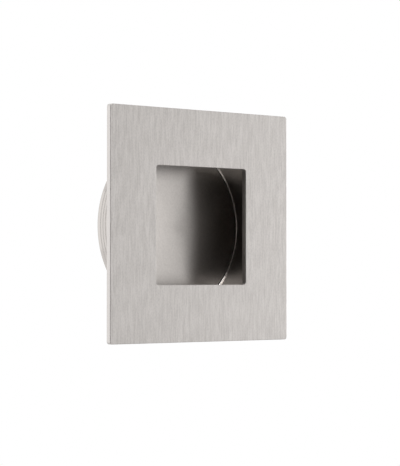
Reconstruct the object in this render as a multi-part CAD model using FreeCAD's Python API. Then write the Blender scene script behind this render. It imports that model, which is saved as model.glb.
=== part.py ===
# Recessed pull handle for a sliding door. A square face plate with a square opening
# carries a round turned cup, which is wider than the opening, so that a finger put
# through the opening hooks behind the plate. Lengths are in millimetres.
# The handle is held as it sits in the door: +Z is up, the front faces -Y, the plate's
# back lies in the plane Y = 0, and the origin is on the cup's axis.
import FreeCAD, Part
import math
import os

# Face plate, cut from sheet
plate_side = 65.0
plate_thickness = 1.5
plate_corner_radius = 0.8
plate_edge_break = 0.2
opening_side = 33.0
opening_corner_radius = 0.8

# Cup, turned from bar. Its depth is taken from the plate's back to the cup's own back.
cup_diameter = 52.0
cup_depth = 13.2
cup_wall = 1.5
cup_base = 1.5
cup_inner_bend = 0.5
cup_outer_bend = 0.8

# Grooves round the cup, which key the adhesive in the door's bored hole
groove_pitch = 1.1
groove_width = 0.6
groove_depth = 0.18
groove_count = 4
back_groove_inset = 1.9

# The cup's spigot stands on the floor of a ring-shaped seat in the plate's back. The weld lies
# beside it, and shows as a narrow ring round the cup's foot.
seat_depth = 0.5
seat_clearance = 0.05
spigot_wall = 1.2
weld_width = 0.6

plate_front = -plate_thickness
cup_outer_radius = cup_diameter / 2
cup_inner_radius = cup_outer_radius - cup_wall
cup_floor = cup_depth - cup_base
spigot_outer_radius = cup_inner_radius + spigot_wall
seat_inner_radius = cup_inner_radius - seat_clearance
seat_outer_radius = spigot_outer_radius + weld_width

axis_start = FreeCAD.Vector(0, 0, 0)
into_door = FreeCAD.Vector(0, 1, 0)


# A point of a turned profile: its radius from the cup's axis and its depth into the door
def at(radius, depth):
    return FreeCAD.Vector(radius, depth, 0)


# The solid that a closed profile sweeps when it turns once round the cup's axis
def turn(edges):
    return Part.Face(Part.Wire(edges)).revolve(axis_start, into_door, 360)


# A plain ring with a rectangular section
def ring(inner, outer, front, back):
    return turn(run(at(inner, front), at(outer, front), at(outer, back), at(inner, back), at(inner, front)))


# Straight edges from each point to the next
def run(*points):
    return [Part.LineSegment(start, end).toShape() for start, end in zip(points, points[1:])]


# A quarter circle about a centre, from one side of it towards greater depth to the other side
def quarter(centre, radius, outward_first):
    outward = centre + at(radius, 0)
    deeper = centre + at(0, radius)
    middle = centre + at(radius * math.sqrt(0.5), radius * math.sqrt(0.5))
    ends = (outward, deeper) if outward_first else (deeper, outward)
    return [Part.Arc(ends[0], middle, ends[1]).toShape()]


# A square bar along Y, centred on the axis, with its four long edges rounded
def square_bar(side, corner_radius, front, back):
    corner = FreeCAD.Vector(-side / 2, front, -side / 2)
    bar = Part.makeBox(side, back - front, side, corner)
    long_edges = [edge for edge in bar.Edges if edge.BoundBox.YLength > (back - front) / 2]
    return bar.makeFillet(corner_radius, long_edges)


# The plate: its opening, the broken front edges of both outlines, and the seat for the cup
def face_plate():
    sheet = square_bar(plate_side, plate_corner_radius, plate_front, 0)
    opening = square_bar(opening_side, opening_corner_radius, 2 * plate_front, plate_thickness)
    plate = sheet.cut(opening)
    front_edges = [edge for edge in plate.Edges if edge.BoundBox.YMax < plate_front / 2]
    return plate.makeChamfer(plate_edge_break, front_edges).cut(spigot_seat())


# The ring-shaped seat, open at the plate's back
def spigot_seat():
    return ring(seat_inner_radius, seat_outer_radius, -seat_depth, 0)


# The cup: a flat floor that bends up into the wall, which ends in a thinner spigot in front
def recess_cup():
    inner_bend_centre = at(cup_inner_radius - cup_inner_bend, cup_floor - cup_inner_bend)
    outer_bend_centre = at(cup_outer_radius - cup_outer_bend, cup_depth - cup_outer_bend)
    inside = run(at(0, cup_floor), inner_bend_centre + at(0, cup_inner_bend))
    inside += quarter(inner_bend_centre, cup_inner_bend, outward_first=False)
    wall_and_spigot = run(
        inner_bend_centre + at(cup_inner_bend, 0),
        at(cup_inner_radius, -seat_depth),
        at(spigot_outer_radius, -seat_depth),
        at(spigot_outer_radius, 0),
        at(cup_outer_radius, 0),
        outer_bend_centre + at(cup_outer_bend, 0),
    )
    outside = quarter(outer_bend_centre, cup_outer_bend, outward_first=True)
    outside += run(outer_bend_centre + at(0, cup_outer_bend), at(0, cup_depth), at(0, cup_floor))
    return turn(inside + wall_and_spigot + outside).cut(key_grooves())


# V-shaped rings, set a pitch apart from the cup's back towards the plate
def key_grooves():
    depths = [cup_depth - back_groove_inset - number * groove_pitch for number in range(groove_count)]
    return Part.makeCompound([key_groove(depth) for depth in depths])


def key_groove(depth):
    front = at(cup_outer_radius, depth - groove_width / 2)
    bottom = at(cup_outer_radius - groove_depth, depth)
    back = at(cup_outer_radius, depth + groove_width / 2)
    clear_of_wall = at(groove_depth, 0)
    return turn(run(front, bottom, back, back + clear_of_wall, front + clear_of_wall, front))


# The weld, which fills the seat outside the spigot and is dressed flush with the plate's back
def weld_seam():
    return ring(spigot_outer_radius, seat_outer_radius, -seat_depth, 0)


os.makedirs("parts", exist_ok=True)
for make_piece in (face_plate, recess_cup, weld_seam):
    piece = make_piece()
    piece.exportStep(os.path.join("parts", make_piece.__name__ + ".step"))
    print(make_piece.__name__, "valid" if piece.isValid() else "not valid", round(piece.Volume, 1), "mm3")
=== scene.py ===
import bpy
import math
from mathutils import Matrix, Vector


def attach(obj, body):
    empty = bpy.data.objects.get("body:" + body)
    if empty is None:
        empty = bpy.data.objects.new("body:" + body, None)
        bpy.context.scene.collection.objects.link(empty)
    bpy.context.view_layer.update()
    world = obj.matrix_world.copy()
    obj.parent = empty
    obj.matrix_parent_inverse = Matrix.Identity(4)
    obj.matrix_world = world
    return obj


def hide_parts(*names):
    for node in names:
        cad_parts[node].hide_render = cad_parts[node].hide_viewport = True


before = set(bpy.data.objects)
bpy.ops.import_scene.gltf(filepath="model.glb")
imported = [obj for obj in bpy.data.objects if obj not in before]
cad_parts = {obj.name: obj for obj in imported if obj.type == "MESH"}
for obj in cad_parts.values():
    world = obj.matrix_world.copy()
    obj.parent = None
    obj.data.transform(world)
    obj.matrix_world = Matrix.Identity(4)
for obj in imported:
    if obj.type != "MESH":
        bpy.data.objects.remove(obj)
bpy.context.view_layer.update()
scene = bpy.context.scene
mm = 0.001  # the frame is in metres, and the sizes below are in millimetres
print("stage: the packed frame is loaded")


# A colour as written on a screen, turned to the linear values that shaders take
def linear(hexColour):
    parts = [int(hexColour[place:place + 2], 16) / 255 for place in (1, 3, 5)]
    values = [p / 12.92 if p <= 0.04045 else ((p + 0.055) / 1.055) ** 2.4 for p in parts]
    return (*values, 1.0)


# Gives a node's inputs their values, or links them
def fill(tree, node, inputs):
    for name, value in inputs.items():
        if isinstance(value, bpy.types.NodeSocket):
            tree.links.new(value, node.inputs[name])
        else:
            node.inputs[name].default_value = value


# Adds a node with its settings and inputs
def addNode(tree, kind, settings=None, inputs=None):
    node = tree.nodes.new(kind)
    for name, value in (settings or {}).items():
        setattr(node, name, value)
    fill(tree, node, inputs or {})
    return node


# A metal with nothing but its shader yet, and the piece's own place in millimetres
def newMaterial(name):
    material = bpy.data.materials.new(name)
    material.use_nodes = True
    tree = material.node_tree
    tree.nodes.clear()
    shader = addNode(tree, "ShaderNodeBsdfPrincipled", None, {"Metallic": 1.0})
    addNode(tree, "ShaderNodeOutputMaterial", None, {"Surface": shader.outputs[0]})
    coordinates = addNode(tree, "ShaderNodeTexCoord")
    place = addNode(tree, "ShaderNodeVectorMath", {"operation": "SCALE"},
                    {0: coordinates.outputs["Object"], "Scale": 1 / mm})
    return material, tree, shader, place.outputs[0]


grains = {
    "fineShare": 0.55,  # how strong each finer layer of a grain is beside the one before it
    "bumpStrength": 0.2,
}


# A stretched grain, as many millimetres long along X, Y and Z as its sizes say
def grain(tree, place, sizes, detail):
    stretched = addNode(tree, "ShaderNodeMapping", None,
                        {"Vector": place, "Scale": tuple(1 / size for size in sizes)})
    noise = addNode(tree, "ShaderNodeTexNoise", None,
                    {"Vector": stretched.outputs[0], "Scale": 1.0, "Detail": detail,
                     "Roughness": grains["fineShare"]})
    return noise.outputs[0]


# A skin through rings of points, each joined to the next. Each end is closed by a pole point
# if one is given, and otherwise the last ring joins the first.
def skin(name, rings, sharpRings, poles=None):
    steps = len(rings[0])
    points = [point for ring in rings for point in ring]
    faces = []
    joins = len(rings) - 1 if poles else len(rings)
    for ring in range(joins):
        after = (ring + 1) % len(rings)
        for step in range(steps):
            nextStep = (step + 1) % steps
            faces.append((ring * steps + step, ring * steps + nextStep,
                          after * steps + nextStep, after * steps + step))
    if poles:
        first, last = len(points), len(points) + 1
        lastRing = (len(rings) - 1) * steps
        points += poles
        for step in range(steps):
            nextStep = (step + 1) % steps
            faces.append((nextStep, step, first))
            faces.append((lastRing + step, lastRing + nextStep, last))
    mesh = bpy.data.meshes.new(name)
    mesh.from_pydata([Vector(point) * mm for point in points], [], faces)
    mesh.validate()
    sharp = {ring * steps + step for ring in sharpRings for step in range(steps)}
    for edge in mesh.edges:
        start, end = edge.vertices
        edge.use_edge_sharp = start in sharp and end in sharp and start // steps == end // steps
    mesh.shade_smooth()
    piece = bpy.data.objects.new(name, mesh)
    scene.collection.objects.link(piece)
    return piece


# Points out the faces of a closed skin
def faceOutwards(piece):
    bpy.context.view_layer.objects.active = piece
    piece.select_set(True)
    bpy.ops.object.mode_set(mode="EDIT")
    bpy.ops.mesh.select_all(action="SELECT")
    bpy.ops.mesh.normals_make_consistent(inside=False)
    bpy.ops.object.mode_set(mode="OBJECT")
    piece.select_set(False)


# Puts a finished piece in place of the CAD node that it stands for
def seat(piece, node):
    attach(piece, "root")
    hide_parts(node)


# Angles round the plate, closer together where a corner of either outline is rounded
def plateAngles(outlines, stepsPerSide, stepsPerCorner):
    quarter = [math.pi / 2 * step / stepsPerSide for step in range(stepsPerSide)]
    for half, corner in outlines:
        centre = half - corner
        for step in range(stepsPerCorner + 1):
            turn = math.pi / 2 * step / stepsPerCorner
            quarter.append(math.atan2(centre + corner * math.sin(turn),
                                      centre + corner * math.cos(turn)))
    quarter = sorted(set(round(angle, 6) for angle in quarter))  # rounded, so that none comes twice
    return [angle + side * math.pi / 2 for side in range(4) for angle in quarter]


# A square ring with rounded corners at a depth, as points at the given angles
def squareRing(half, corner, depth, angles):
    ring = []
    centre = half - corner
    for angle in angles:
        fromSide = abs((angle + math.pi / 4) % (math.pi / 2) - math.pi / 4)
        reach = half / math.cos(fromSide)
        if half * math.tan(fromSide) > centre:
            slant = math.cos(fromSide) + math.sin(fromSide)
            rounding = centre ** 2 * (slant ** 2 - 2) + corner ** 2
            reach = centre * slant + math.sqrt(max(0.0, rounding))
        ring.append((reach * math.cos(angle), depth, reach * math.sin(angle)))
    return ring


def roundRing(radius, depth, angles):
    return [(radius * math.cos(angle), depth, radius * math.sin(angle)) for angle in angles]


plate = {
    "side": 65.0,
    "thickness": 1.5,
    "corner": 0.8,
    "opening": 33.0,
    "openingCorner": 0.8,
    "edgeBreak": 0.14,
    "edgeSteps": 4,
    "seatInner": 24.45,
    "seatOuter": 26.3,
    "seatDepth": 0.5,
    "stepsPerSide": 48,
    "stepsPerCorner": 8,
    "brushedLean": 0.5,  # the belt reaches the faces that look this far to the front or back
    "squareOn": 0.7,  # a face that looks this far along an axis is mapped square to it
}


# The face plate: one skin that goes round its section, from the opening's back edge by the seat
# to the outer edge, and over the front into the opening again
def makeFacePlate():
    half, opening = plate["side"] / 2, plate["opening"] / 2
    corner, openingCorner = plate["corner"], plate["openingCorner"]
    front, edgeBreak, edgeSteps = -plate["thickness"], plate["edgeBreak"], plate["edgeSteps"]
    angles = plateAngles([(half, corner), (opening, openingCorner)],
                         plate["stepsPerSide"], plate["stepsPerCorner"])
    rings = [
        squareRing(opening, openingCorner, 0, angles),
        roundRing(plate["seatInner"], 0, angles),
        roundRing(plate["seatInner"], -plate["seatDepth"], angles),
        roundRing(plate["seatOuter"], -plate["seatDepth"], angles),
        roundRing(plate["seatOuter"], 0, angles),
        squareRing(half, corner, 0, angles),
    ]
    sharpRings = list(range(len(rings)))
    # The broken edges: towards the front, the plate's outline shrinks and the opening's grows
    turns = [math.pi / 2 * step / edgeSteps for step in range(edgeSteps + 1)]
    for reach, rounding, growth, edgeTurns in ((half, corner, -1, turns),
                                               (opening, openingCorner, 1, turns[::-1])):
        sharpRings.append(len(rings))
        for turn in edgeTurns:
            inset = growth * edgeBreak * (1 - math.cos(turn))
            depth = front + edgeBreak * (1 - math.sin(turn))
            rings.append(squareRing(reach + inset, rounding + inset, depth, angles))
        sharpRings.append(len(rings) - 1)
    piece = skin("facePlateSheet", rings, sharpRings)
    faceOutwards(piece)
    mapBrushing(piece)
    for polygon in piece.data.polygons:
        polygon.material_index = 0 if abs(polygon.normal.y) > plate["brushedLean"] else 1
    return piece


# A UV map with U across the brushing: along X on the plate's two faces, and along Y on its edges
def mapBrushing(piece):
    mesh = piece.data
    layer = mesh.uv_layers.new(name="brushing")
    for polygon in mesh.polygons:
        if abs(polygon.normal.y) > plate["squareOn"]:
            across, along = 0, 2
        elif abs(polygon.normal.x) > plate["squareOn"]:
            across, along = 1, 2
        else:
            across, along = 1, 0
        for loop in polygon.loop_indices:
            point = mesh.vertices[mesh.loops[loop].vertex_index].co / mm
            layer.data[loop].uv = (point[across], point[along])


brushedSheet = {
    "pale": "#DAD6D3",
    "dark": "#C2BEBB",
    "toneRange": (0.75, 1.25),  # from dark to pale, over the streaks and lines added together
    "roughness": (0.4, 0.48),
    "roughnessRange": (0.3, 0.7),  # from smooth to rough, over the lines
    "anisotropy": 0.87,
    "streak": (0.5, 5.0, 5.0),  # a streak's width across, through the sheet and along it, in mm
    "streakDetail": 2.0,
    "line": (0.35, 2.0, 0.6),
    "lineDetail": 3.0,
    "relief": 0.004,
}


# Stainless steel sheet, brushed upright on a belt. The eye gets a pale warm grey with fine upright
# lines that are a little brighter or duller than their neighbours. Belt scratches are 0.05 mm wide,
# too fine to show, so they are drawn as 0.35 mm lines on 0.5 mm streaks.
def brushedStainless():
    material, tree, shader, place = newMaterial("brushedStainlessSheet")
    streak = grain(tree, place, brushedSheet["streak"], brushedSheet["streakDetail"])
    line = grain(tree, place, brushedSheet["line"], brushedSheet["lineDetail"])
    both = addNode(tree, "ShaderNodeMath", {"operation": "ADD"}, {0: streak, 1: line})
    low, high = brushedSheet["toneRange"]
    tone = addNode(tree, "ShaderNodeMapRange", None,
                   {"Value": both.outputs[0], "From Min": low, "From Max": high})
    colour = addNode(tree, "ShaderNodeMix", {"data_type": "RGBA"},
                     {"Factor": tone.outputs[0], 6: linear(brushedSheet["dark"]),
                      7: linear(brushedSheet["pale"])})
    low, high = brushedSheet["roughnessRange"]
    smooth, rough = brushedSheet["roughness"]
    roughness = addNode(tree, "ShaderNodeMapRange", None,
                        {"Value": line, "From Min": low, "From Max": high, "To Min": smooth,
                         "To Max": rough})
    bump = addNode(tree, "ShaderNodeBump", None,
                   {"Height": line, "Strength": grains["bumpStrength"],
                    "Distance": brushedSheet["relief"] * mm})
    tangent = addNode(tree, "ShaderNodeTangent", {"direction_type": "UV_MAP", "uv_map": "brushing"})
    fill(tree, shader, {"Anisotropic": brushedSheet["anisotropy"], "Tangent": tangent.outputs[0],
                        "Base Color": colour.outputs[2], "Roughness": roughness.outputs[0],
                        "Normal": bump.outputs[0]})
    return material


cutEdge = {
    "pale": "#D9D5D2",
    "dark": "#C9C5C2",
    "roughness": 0.42,
    "burr": (0.25, 0.8, 0.25),
    "burrDetail": 2.0,
}


# The sheet's cut edges, deburred but not brushed. The eye gets a pale satin rim without lines.
def cutStainless():
    material, tree, shader, place = newMaterial("cutStainlessEdge")
    burr = grain(tree, place, cutEdge["burr"], cutEdge["burrDetail"])
    colour = addNode(tree, "ShaderNodeMix", {"data_type": "RGBA"},
                     {"Factor": burr, 6: linear(cutEdge["dark"]), 7: linear(cutEdge["pale"])})
    fill(tree, shader, {"Base Color": colour.outputs[2], "Roughness": cutEdge["roughness"]})
    return material


cup = {
    "radius": 26.0,
    "wall": 1.5,
    "depth": 13.2,
    "base": 1.5,
    "innerBend": 0.5,
    "outerBend": 0.8,
    "spigotWall": 1.2,
    "spigotLength": 0.5,
    "grooveCount": 4,
    "groovePitch": 1.1,
    "grooveWidth": 0.6,
    "grooveDepth": 0.18,
    "backGrooveInset": 1.9,
    "flatRings": (0.02, 0.3, 0.6),  # rings on the floor and the back, as shares of the inner radius
    "wallStep": 0.1,
    "bendSteps": 8,
    "turnSteps": 240,
    "wallMargin": 0.01,  # how far inside the outer wall's radius a point still counts as on it
}


# The points of a quarter bend about a centre, between two directions given in quarter turns
def bend(centreRadius, centreDepth, radius, start, end):
    points = []
    for step in range(cup["bendSteps"] + 1):
        turn = math.pi / 2 * (start + (end - start) * step / cup["bendSteps"])
        points.append((centreRadius + radius * math.cos(turn),
                       centreDepth + radius * math.sin(turn)))
    return points


# The turned cup without its grooves, as a profile that goes once round from the middle of its
# floor, by the spigot and the outer wall, to the middle of its back
def makeCupBlank():
    radius, depth = cup["radius"], cup["depth"]
    inner, floor = radius - cup["wall"], depth - cup["base"]
    innerBend, outerBend = cup["innerBend"], cup["outerBend"]
    spigot, spigotFront = inner + cup["spigotWall"], -cup["spigotLength"]
    profile = [(inner * share, floor) for share in cup["flatRings"]]
    floorEdge = len(profile)
    profile += bend(inner - innerBend, floor - innerBend, innerBend, 1, 0)
    wallFoot = len(profile) - 1
    profile.append((inner, floor / 2))
    spigotStart = len(profile)
    profile += [(inner, spigotFront), (spigot, spigotFront), (spigot, 0)]
    shoulder = len(profile)
    rows = round((depth - outerBend) / cup["wallStep"])
    profile += [(radius, (depth - outerBend) * row / rows) for row in range(rows)]
    outerBendStart = len(profile)
    profile += bend(radius - outerBend, depth - outerBend, outerBend, 0, 1)
    backEdge = len(profile) - 1
    profile += [(inner * share, depth) for share in reversed(cup["flatRings"])]
    angles = [2 * math.pi * step / cup["turnSteps"] for step in range(cup["turnSteps"])]
    rings = [roundRing(*point, angles) for point in profile]
    sharpRings = [floorEdge, wallFoot, *range(spigotStart, shoulder + 1), outerBendStart, backEdge]
    piece = skin("recessCupTurned", rings, sharpRings, [(0, floor, 0), (0, depth, 0)])
    faceOutwards(piece)
    mapTurning(piece, profile)
    return piece


# A UV map with U across the tool's marks, along the profile from the floor's middle, and V round
# them
def mapTurning(piece, profile):
    mesh, steps = piece.data, cup["turnSteps"]
    lengths = [profile[0][0]]
    for start, end in zip(profile, profile[1:]):
        lengths.append(lengths[-1] + math.dist(start, end))
    lengths += [0.0, lengths[-1] + profile[-1][0]]  # the floor's pole and the back's pole
    polesStart = len(profile) * steps
    layer = mesh.uv_layers.new(name="turning")
    for polygon in mesh.polygons:
        corners = [mesh.loops[loop].vertex_index for loop in polygon.loop_indices]
        sides = [corner % steps for corner in corners if corner < polesStart]
        wraps = max(sides) - min(sides) > 1
        for loop, corner in zip(polygon.loop_indices, corners):
            if corner < polesStart:
                along, side = lengths[corner // steps], corner % steps
                if wraps and side == 0:
                    side = steps
            else:
                along = lengths[len(profile) + corner - polesStart]
                side = steps - 0.5 if wraps else min(sides) + 0.5
            layer.data[loop].uv = (along, side)


# Cuts the key grooves: each point of the outer wall sinks by its distance from the nearest groove
def grooveTree():
    tree = bpy.data.node_groups.new("keyGrooves", "GeometryNodeTree")
    face = tree.interface
    face.new_socket(name="Geometry", in_out="INPUT", socket_type="NodeSocketGeometry")
    sizes = ("Wall radius", "Wall margin", "Back groove", "Pitch", "Width", "Depth", "Count")
    for name in sizes:
        face.new_socket(name=name, in_out="INPUT", socket_type="NodeSocketFloat")
    face.new_socket(name="Finish", in_out="INPUT", socket_type="NodeSocketMaterial")
    face.new_socket(name="Geometry", in_out="OUTPUT", socket_type="NodeSocketGeometry")
    given = addNode(tree, "NodeGroupInput").outputs
    position = addNode(tree, "GeometryNodeInputPosition").outputs[0]
    split = addNode(tree, "ShaderNodeSeparateXYZ", None, {0: position}).outputs
    outwards = addNode(tree, "ShaderNodeCombineXYZ", None, {"X": split["X"], "Z": split["Z"]})
    radius = addNode(tree, "ShaderNodeVectorMath", {"operation": "LENGTH"},
                     {0: outwards.outputs[0]})
    # Each sum has a name, an operation and two terms, which are sizes, earlier sums or numbers
    terms = {name: given[name] for name in sizes}
    terms.update(pointDepth=split["Y"], pointRadius=radius.outputs["Value"])
    sums = [
        ("beforeBack", "SUBTRACT", "Back groove", "pointDepth"),
        ("steps", "DIVIDE", "beforeBack", "Pitch"),
        ("wholeSteps", "ROUND", "steps", 0.0),
        ("stepsOn", "MAXIMUM", "wholeSteps", 0.0),
        ("lastStep", "SUBTRACT", "Count", 1.0),
        ("nearest", "MINIMUM", "stepsOn", "lastStep"),
        ("shift", "MULTIPLY", "nearest", "Pitch"),
        ("centre", "SUBTRACT", "Back groove", "shift"),
        ("fromCentre", "SUBTRACT", "pointDepth", "centre"),
        ("away", "ABSOLUTE", "fromCentre", 0.0),
        ("halfWidth", "DIVIDE", "Width", 2.0),
        ("share", "DIVIDE", "away", "halfWidth"),
        ("rest", "SUBTRACT", 1.0, "share"),
        ("kept", "MAXIMUM", "rest", 0.0),
        ("sink", "MULTIPLY", "kept", "Depth"),
        ("move", "MULTIPLY", "sink", -1.0),
        ("wallLimit", "SUBTRACT", "Wall radius", "Wall margin"),
        ("onWall", "GREATER_THAN", "pointRadius", "wallLimit"),
    ]
    for name, operation, first, second in sums:
        node = addNode(tree, "ShaderNodeMath", {"operation": operation},
                       {0: terms.get(first, first), 1: terms.get(second, second)})
        terms[name] = node.outputs[0]
    direction = addNode(tree, "ShaderNodeVectorMath", {"operation": "NORMALIZE"},
                        {0: outwards.outputs[0]})
    offset = addNode(tree, "ShaderNodeVectorMath", {"operation": "SCALE"},
                     {0: direction.outputs[0], "Scale": terms["move"]})
    cut = addNode(tree, "GeometryNodeSetPosition", None,
                  {"Geometry": given["Geometry"], "Selection": terms["onWall"],
                   "Offset": offset.outputs[0]})
    real = addNode(tree, "GeometryNodeRealizeInstances", None, {"Geometry": cut.outputs[0]})
    finished = addNode(tree, "GeometryNodeSetMaterial", None,
                       {"Geometry": real.outputs[0], "Material": given["Finish"]})
    addNode(tree, "NodeGroupOutput", None, {"Geometry": finished.outputs[0]})
    return tree


# Runs a tree on a piece with its named inputs, and leaves a plain mesh
def applyTree(piece, tree, values):
    modifier = piece.modifiers.new(tree.name, "NODES")
    modifier.node_group = tree
    for item in tree.interface.items_tree:
        if item.item_type == "SOCKET" and item.in_out == "INPUT" and item.name in values:
            modifier[item.identifier] = values[item.name]
    graph = bpy.context.evaluated_depsgraph_get()
    mesh = bpy.data.meshes.new_from_object(piece.evaluated_get(graph))
    piece.modifiers.remove(modifier)
    piece.data = mesh


turnedSteel = {
    "floorPale": "#CAC5C1",
    "floorDark": "#C2BDB9",
    "toneRange": (0.35, 0.65),  # from dark to pale, over the pattern
    "floorRoughness": 0.29,
    "wallRoughness": 0.16,
    "anisotropy": 0.66,
    "speck": 0.5,
    "speckDetail": 3.0,
    "toolMark": 0.35,
    "toolMarkDetail": 2.0,
    "relief": 0.003,
    "insideMargin": 0.05,  # how far past the inner wall's radius still counts as inside
}


# Stainless steel turned on a lathe. The eye gets an even satin floor that mirrors softly, a
# glossier wall, and the tool's fine rings outside. The tool's feed is 0.1 mm, too fine to show, so
# its rings are drawn 0.35 mm wide.
def turnedStainless():
    material, tree, shader, place = newMaterial("turnedStainlessCup")
    innerRadius = cup["radius"] - cup["wall"]
    split = addNode(tree, "ShaderNodeSeparateXYZ", None, {0: place}).outputs
    flat = addNode(tree, "ShaderNodeCombineXYZ", None, {"X": split["X"], "Z": split["Z"]})
    length = addNode(tree, "ShaderNodeVectorMath", {"operation": "LENGTH"}, {0: flat.outputs[0]})
    radius = length.outputs["Value"]
    across = addNode(tree, "ShaderNodeCombineXYZ", None, {"X": radius, "Y": split["Y"]})
    rings = grain(tree, across.outputs[0], (turnedSteel["toolMark"],) * 3,
                  turnedSteel["toolMarkDetail"])
    speck = grain(tree, place, (turnedSteel["speck"],) * 3, turnedSteel["speckDetail"])
    limits = [
        (radius, innerRadius + turnedSteel["insideMargin"]),
        (radius, innerRadius - cup["innerBend"]),
        (split["Y"], cup["depth"] - cup["base"] / 2),
    ]
    withinWall, withinBend, shallow = [
        addNode(tree, "ShaderNodeMath", {"operation": "LESS_THAN"}, {0: value, 1: limit}).outputs[0]
        for value, limit in limits
    ]
    inside, floor = [
        addNode(tree, "ShaderNodeMath", {"operation": "MULTIPLY"}, {0: area, 1: shallow}).outputs[0]
        for area in (withinWall, withinBend)
    ]
    pattern = addNode(tree, "ShaderNodeMix", {"data_type": "FLOAT"},
                      {0: inside, 2: rings, 3: speck})
    low, high = turnedSteel["toneRange"]
    tone = addNode(tree, "ShaderNodeMapRange", None,
                   {"Value": pattern.outputs[0], "From Min": low, "From Max": high})
    colour = addNode(tree, "ShaderNodeMix", {"data_type": "RGBA"},
                     {"Factor": tone.outputs[0], 6: linear(turnedSteel["floorDark"]),
                      7: linear(turnedSteel["floorPale"])})
    roughness = addNode(tree, "ShaderNodeMapRange", None,
                        {"Value": floor, "To Min": turnedSteel["wallRoughness"],
                         "To Max": turnedSteel["floorRoughness"]})
    bump = addNode(tree, "ShaderNodeBump", None,
                   {"Height": pattern.outputs[0], "Strength": grains["bumpStrength"],
                    "Distance": turnedSteel["relief"] * mm})
    tangent = addNode(tree, "ShaderNodeTangent", {"direction_type": "UV_MAP", "uv_map": "turning"})
    fill(tree, shader, {"Anisotropic": turnedSteel["anisotropy"], "Tangent": tangent.outputs[0],
                        "Base Color": colour.outputs[2], "Roughness": roughness.outputs[0],
                        "Normal": bump.outputs[0]})
    return material


weld = {
    "straw": "#B4AA9B",
    "grey": "#A39C94",
    "roughness": 0.42,
    "ripple": 0.5,
    "rippleDetail": 2.0,
}


# Weld metal, dressed flush. The eye gets a narrow duller ring with a faint straw tint from heat.
def dressedWeld():
    material, tree, shader, place = newMaterial("dressedWeldMetal")
    ripple = grain(tree, place, (weld["ripple"],) * 3, weld["rippleDetail"])
    colour = addNode(tree, "ShaderNodeMix", {"data_type": "RGBA"},
                     {"Factor": ripple, 6: linear(weld["grey"]), 7: linear(weld["straw"])})
    fill(tree, shader, {"Base Color": colour.outputs[2], "Roughness": weld["roughness"]})
    return material


facePlate = makeFacePlate()
facePlate.data.materials.append(brushedStainless())
facePlate.data.materials.append(cutStainless())
seat(facePlate, "face_plate")
print("stage: the face plate is made")

recessCup = makeCupBlank()
applyTree(recessCup, grooveTree(), {
    "Wall radius": cup["radius"] * mm,
    "Wall margin": cup["wallMargin"] * mm,
    "Back groove": (cup["depth"] - cup["backGrooveInset"]) * mm,
    "Pitch": cup["groovePitch"] * mm,
    "Width": cup["grooveWidth"] * mm,
    "Depth": cup["grooveDepth"] * mm,
    "Count": float(cup["grooveCount"]),
    "Finish": turnedStainless(),
})
seat(recessCup, "recess_cup")
print("stage: the cup is made")

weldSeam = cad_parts["weld_seam"]
weldSeam.data.materials.clear()
weldSeam.data.materials.append(dressedWeld())
print("stage: the weld has its finish")


studio = {
    "white": "#FFFFFF",
    "fill": 0.6,
    "floor": "#E9E8E6",
    "floorLevel": -640.0,  # the handle hangs clear of the floor, as it would in its door
    "floorRadius": 760.0,
    "floorSteps": 96,
    # Each card's colour, its first and last turn in degrees, and its lowest and highest level. The
    # upper and the lower card leave a bright window between them.
    "cards": {
        "darkCard": ("#1E1D1C", -78.0, -14.5, -640.0, 640.0),
        "greyCard": ("#D6D4D2", -14.5, 28.0, -640.0, 640.0),
        "upperCard": ("#D6D4D2", 28.0, 52.0, 140.0, 640.0),
        "lowerCard": ("#D6D4D2", 28.0, 52.0, -640.0, -140.0),
    },
    "cardRadius": 560.0,
    "cardSteps": 16,
    "paperRoughness": 0.9,
}


# White surroundings. Fill light on dull surfaces is lower, so that the pale floor keeps its shade.
def makeWorld():
    world = bpy.data.worlds.new("whiteStudio")
    world.use_nodes = True
    tree = world.node_tree
    tree.nodes.clear()
    path = addNode(tree, "ShaderNodeLightPath").outputs
    seen = path["Is Camera Ray"]
    for ray in ("Is Glossy Ray", "Is Transmission Ray"):
        seen = addNode(tree, "ShaderNodeMath", {"operation": "MAXIMUM"},
                       {0: seen, 1: path[ray]}).outputs[0]
    strength = addNode(tree, "ShaderNodeMapRange", None, {"Value": seen, "To Min": studio["fill"]})
    background = addNode(tree, "ShaderNodeBackground", None,
                         {"Color": linear(studio["white"]), "Strength": strength.outputs[0]})
    addNode(tree, "ShaderNodeOutputWorld", None, {"Surface": background.outputs[0]})
    scene.world = world


# A piece of the stage in matt paper
def stageSheet(name, points, faces, colour):
    mesh = bpy.data.meshes.new(name)
    mesh.from_pydata([Vector(point) * mm for point in points], [], faces)
    sheet = bpy.data.objects.new(name, mesh)
    scene.collection.objects.link(sheet)
    material = bpy.data.materials.new(name + "Paper")
    material.use_nodes = True
    tree = material.node_tree
    fill(tree, tree.nodes["Principled BSDF"],
         {"Base Color": linear(colour), "Roughness": studio["paperRoughness"],
          "Specular IOR Level": 0.0})
    mesh.materials.append(material)
    return sheet


# A round floor, which is clear when it is seen from below
def makeFloor():
    radius, level, steps = studio["floorRadius"], studio["floorLevel"], studio["floorSteps"]
    turns = [2 * math.pi * step / steps for step in range(steps)]
    rim = [(radius * math.cos(turn), radius * math.sin(turn), level) for turn in turns]
    sheet = stageSheet("studioFloor", rim, [tuple(range(steps))], studio["floor"])
    tree = sheet.data.materials[0].node_tree
    geometry = addNode(tree, "ShaderNodeNewGeometry")
    clear = addNode(tree, "ShaderNodeBsdfTransparent")
    fromBelow = addNode(tree, "ShaderNodeMixShader", None,
                        {0: geometry.outputs["Backfacing"],
                         1: tree.nodes["Principled BSDF"].outputs[0], 2: clear.outputs[0]})
    fill(tree, tree.nodes["Material Output"], {"Surface": fromBelow.outputs[0]})


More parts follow.
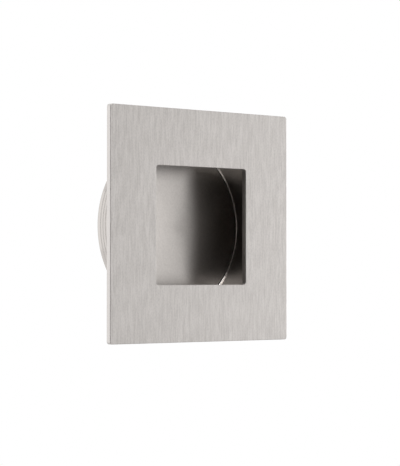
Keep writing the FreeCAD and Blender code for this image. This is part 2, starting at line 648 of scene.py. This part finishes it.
# Cards that curve round the side from which the photo was taken, each from one turn about the
# handle to another. The steel mirrors them, which keeps the recess deep and dark.
def makeCards():
    radius, steps = studio["cardRadius"], studio["cardSteps"]
    for name, (colour, first, last, low, high) in studio["cards"].items():
        turns = [math.radians(first + (last - first) * step / steps) for step in range(steps + 1)]
        points = [(radius * math.sin(turn), -radius * math.cos(turn), level)
                  for turn in turns for level in (low, high)]
        faces = [(2 * step, 2 * step + 2, 2 * step + 3, 2 * step + 1) for step in range(steps)]
        card = stageSheet(name, points, faces, colour)
        card.visible_camera = False
        card.visible_diffuse = False
        card.visible_shadow = False


lamps = {
    "overhead": {"place": (-230.0, -280.0, 760.0), "size": 320.0, "power": 1.8},
    "backLeft": {"place": (-800.0, 700.0, 100.0), "size": 900.0, "power": 0.6},
    "right": {"place": (1310.0, -640.0, 0.0), "size": 760.0, "power": 3.75},
}


# Soft square lamps, turned to the handle
def makeLamps():
    for name, values in lamps.items():
        data = bpy.data.lights.new(name, "AREA")
        data.shape = "SQUARE"
        data.size = values["size"] * mm
        data.energy = values["power"]
        lamp = bpy.data.objects.new(name, data)
        lamp.location = Vector(values["place"]) * mm
        lamp.rotation_euler = (-lamp.location).to_track_quat("-Z", "Y").to_euler()
        lamp.visible_camera = False
        scene.collection.objects.link(lamp)


camera = {
    "place": (-334.8, -392.9, -14.4),
    "turn": 40.48,  # degrees to the right of straight ahead
    "lookUp": 1.38,
    "lens": 141.9,
    "sensor": 36.0,
}


# The camera, where the photo was taken from
def makeCamera():
    data = bpy.data.cameras.new("photoCamera")
    data.lens = camera["lens"]
    data.sensor_width = camera["sensor"]
    photoCamera = bpy.data.objects.new("photoCamera", data)
    turn, lookUp = math.radians(camera["turn"]), math.radians(camera["lookUp"])
    ahead = Vector((math.sin(turn) * math.cos(lookUp), math.cos(turn) * math.cos(lookUp),
                    math.sin(lookUp)))
    photoCamera.location = Vector(camera["place"]) * mm
    photoCamera.rotation_euler = ahead.to_track_quat("-Z", "Y").to_euler()
    scene.collection.objects.link(photoCamera)
    scene.camera = photoCamera


makeWorld()
makeFloor()
makeCards()
makeLamps()
makeCamera()
scene.view_settings.view_transform = "Standard"
print("stage: the studio and the camera are set")
